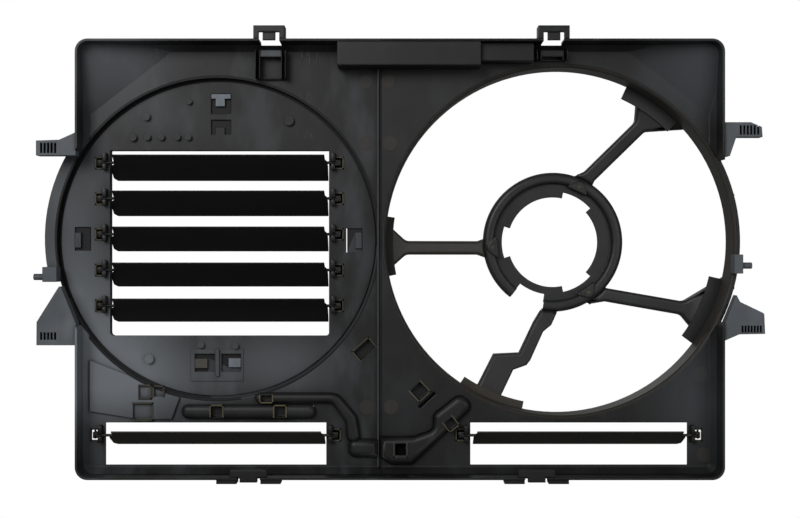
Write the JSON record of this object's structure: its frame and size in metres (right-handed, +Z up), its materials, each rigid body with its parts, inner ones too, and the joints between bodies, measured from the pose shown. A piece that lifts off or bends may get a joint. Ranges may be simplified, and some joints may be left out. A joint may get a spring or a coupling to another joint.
{
  "type": "radiator fan carrier",
  "caption": "Black moulded radiator fan carrier: sunk tray with a spoked fan ring, a louvred round cover with free-swinging air flaps, lower air slots, cable ducts, guides and latches",
  "frame": {"origin": "on the fan axis, in the plane of the three motor screw bosses", "axes": "+X along the tray's length towards the fan ring's side, +Y from the radiator side to the engine side, +Z up"},
  "size_m": [0.7607, 0.1, 0.4731],
  "materials": {
    "tray_plastic": "satin",
    "dusty_plastic": "satin, dusty",
    "flap_black_plastic": "satin",
    "flap_olive_plastic": "matt, soiled",
    "bearing_plastic": "satin"
  },
  "bodies": {
    "root": {"cable_arm": "tray_plastic", "divider_rib": "tray_plastic", "fan_ring": "tray_plastic", "foot_left": "tray_plastic", "foot_right": "tray_plastic", "foot_tongue_left": "tray_plastic", "foot_tongue_right": "tray_plastic", "guide_lower_left": "dusty_plastic", "guide_lower_right": "tray_plastic", "guide_upper_left": "dusty_plastic", "guide_upper_right": "tray_plastic", "hook_plate": "dusty_plastic", "latch_left": "tray_plastic", "latch_rails_left": "tray_plastic", "latch_rails_right": "tray_plastic", "latch_right": "tray_plastic", "locating_pin_left": "tray_plastic", "locating_pin_right": "tray_plastic", "louvre_bearing_1_a": "bearing_plastic", "louvre_bearing_1_b": "bearing_plastic", "louvre_bearing_2_a": "bearing_plastic", "louvre_bearing_2_b": "bearing_plastic", "louvre_bearing_3_a": "bearing_plastic", "louvre_bearing_3_b": "bearing_plastic", "louvre_bearing_4_a": "bearing_plastic", "louvre_bearing_4_b": "bearing_plastic", "louvre_bearing_5_a": "bearing_plastic", "louvre_bearing_5_b": "bearing_plastic", "louvre_cover": "dusty_plastic", "louvre_ring": "dusty_plastic", "lower_cable_duct": "tray_plastic", "lower_left_bearing_a": "bearing_plastic", "lower_left_bearing_b": "bearing_plastic", "lower_right_bearing_a": "bearing_plastic", "lower_right_bearing_b": "bearing_plastic", "motor_ring": "tray_plastic", "right_cable_duct": "tray_plastic", "spoke_left": "tray_plastic", "spoke_lower_right": "tray_plastic", "spoke_upper_right": "tray_plastic", "step_block": "tray_plastic", "top_block": "tray_plastic", "tray_left": "dusty_plastic", "tray_right": "tray_plastic", "upper_cable_duct": "tray_plastic", "window_frame": "dusty_plastic"},
    "louvre_flap_1_body": {"louvre_flap_1": "flap_black_plastic"},
    "louvre_flap_2_body": {"louvre_flap_2": "flap_black_plastic"},
    "louvre_flap_3_body": {"louvre_flap_3": "flap_black_plastic"},
    "louvre_flap_4_body": {"louvre_flap_4": "flap_black_plastic"},
    "louvre_flap_5_body": {"louvre_flap_5": "flap_black_plastic"},
    "lower_left_flap_body": {"lower_left_flap": "flap_olive_plastic"},
    "lower_right_flap_body": {"lower_right_flap": "flap_olive_plastic"}
  },
  "joints": [
    {"name": "louvre_flap_1_swing", "type": "hinge", "parent": "root", "child": "louvre_flap_1_body", "pos_m": [-0.36, -0.066, 0.0833], "axis": [1, 0, 0], "range_deg": [-47, 30]},
    {"name": "louvre_flap_2_swing", "type": "hinge", "parent": "root", "child": "louvre_flap_2_body", "pos_m": [-0.36, -0.066, 0.0455], "axis": [1, 0, 0], "range_deg": [-47, 30]},
    {"name": "louvre_flap_3_swing", "type": "hinge", "parent": "root", "child": "louvre_flap_3_body", "pos_m": [-0.36, -0.066, 0.0077], "axis": [1, 0, 0], "range_deg": [-47, 30]},
    {"name": "louvre_flap_4_swing", "type": "hinge", "parent": "root", "child": "louvre_flap_4_body", "pos_m": [-0.36, -0.066, -0.0301], "axis": [1, 0, 0], "range_deg": [-47, 30]},
    {"name": "louvre_flap_5_swing", "type": "hinge", "parent": "root", "child": "louvre_flap_5_body", "pos_m": [-0.36, -0.066, -0.0679], "axis": [1, 0, 0], "range_deg": [-47, 30]},
    {"name": "lower_left_flap_swing", "type": "hinge", "parent": "root", "child": "lower_left_flap_body", "pos_m": [-0.3625, -0.074, -0.2036], "axis": [1, 0, 0], "range_deg": [-60, 20]},
    {"name": "lower_right_flap_swing", "type": "hinge", "parent": "root", "child": "lower_right_flap_body", "pos_m": [0.02, -0.074, -0.2036], "axis": [1, 0, 0], "range_deg": [-60, 20]}
  ]
}
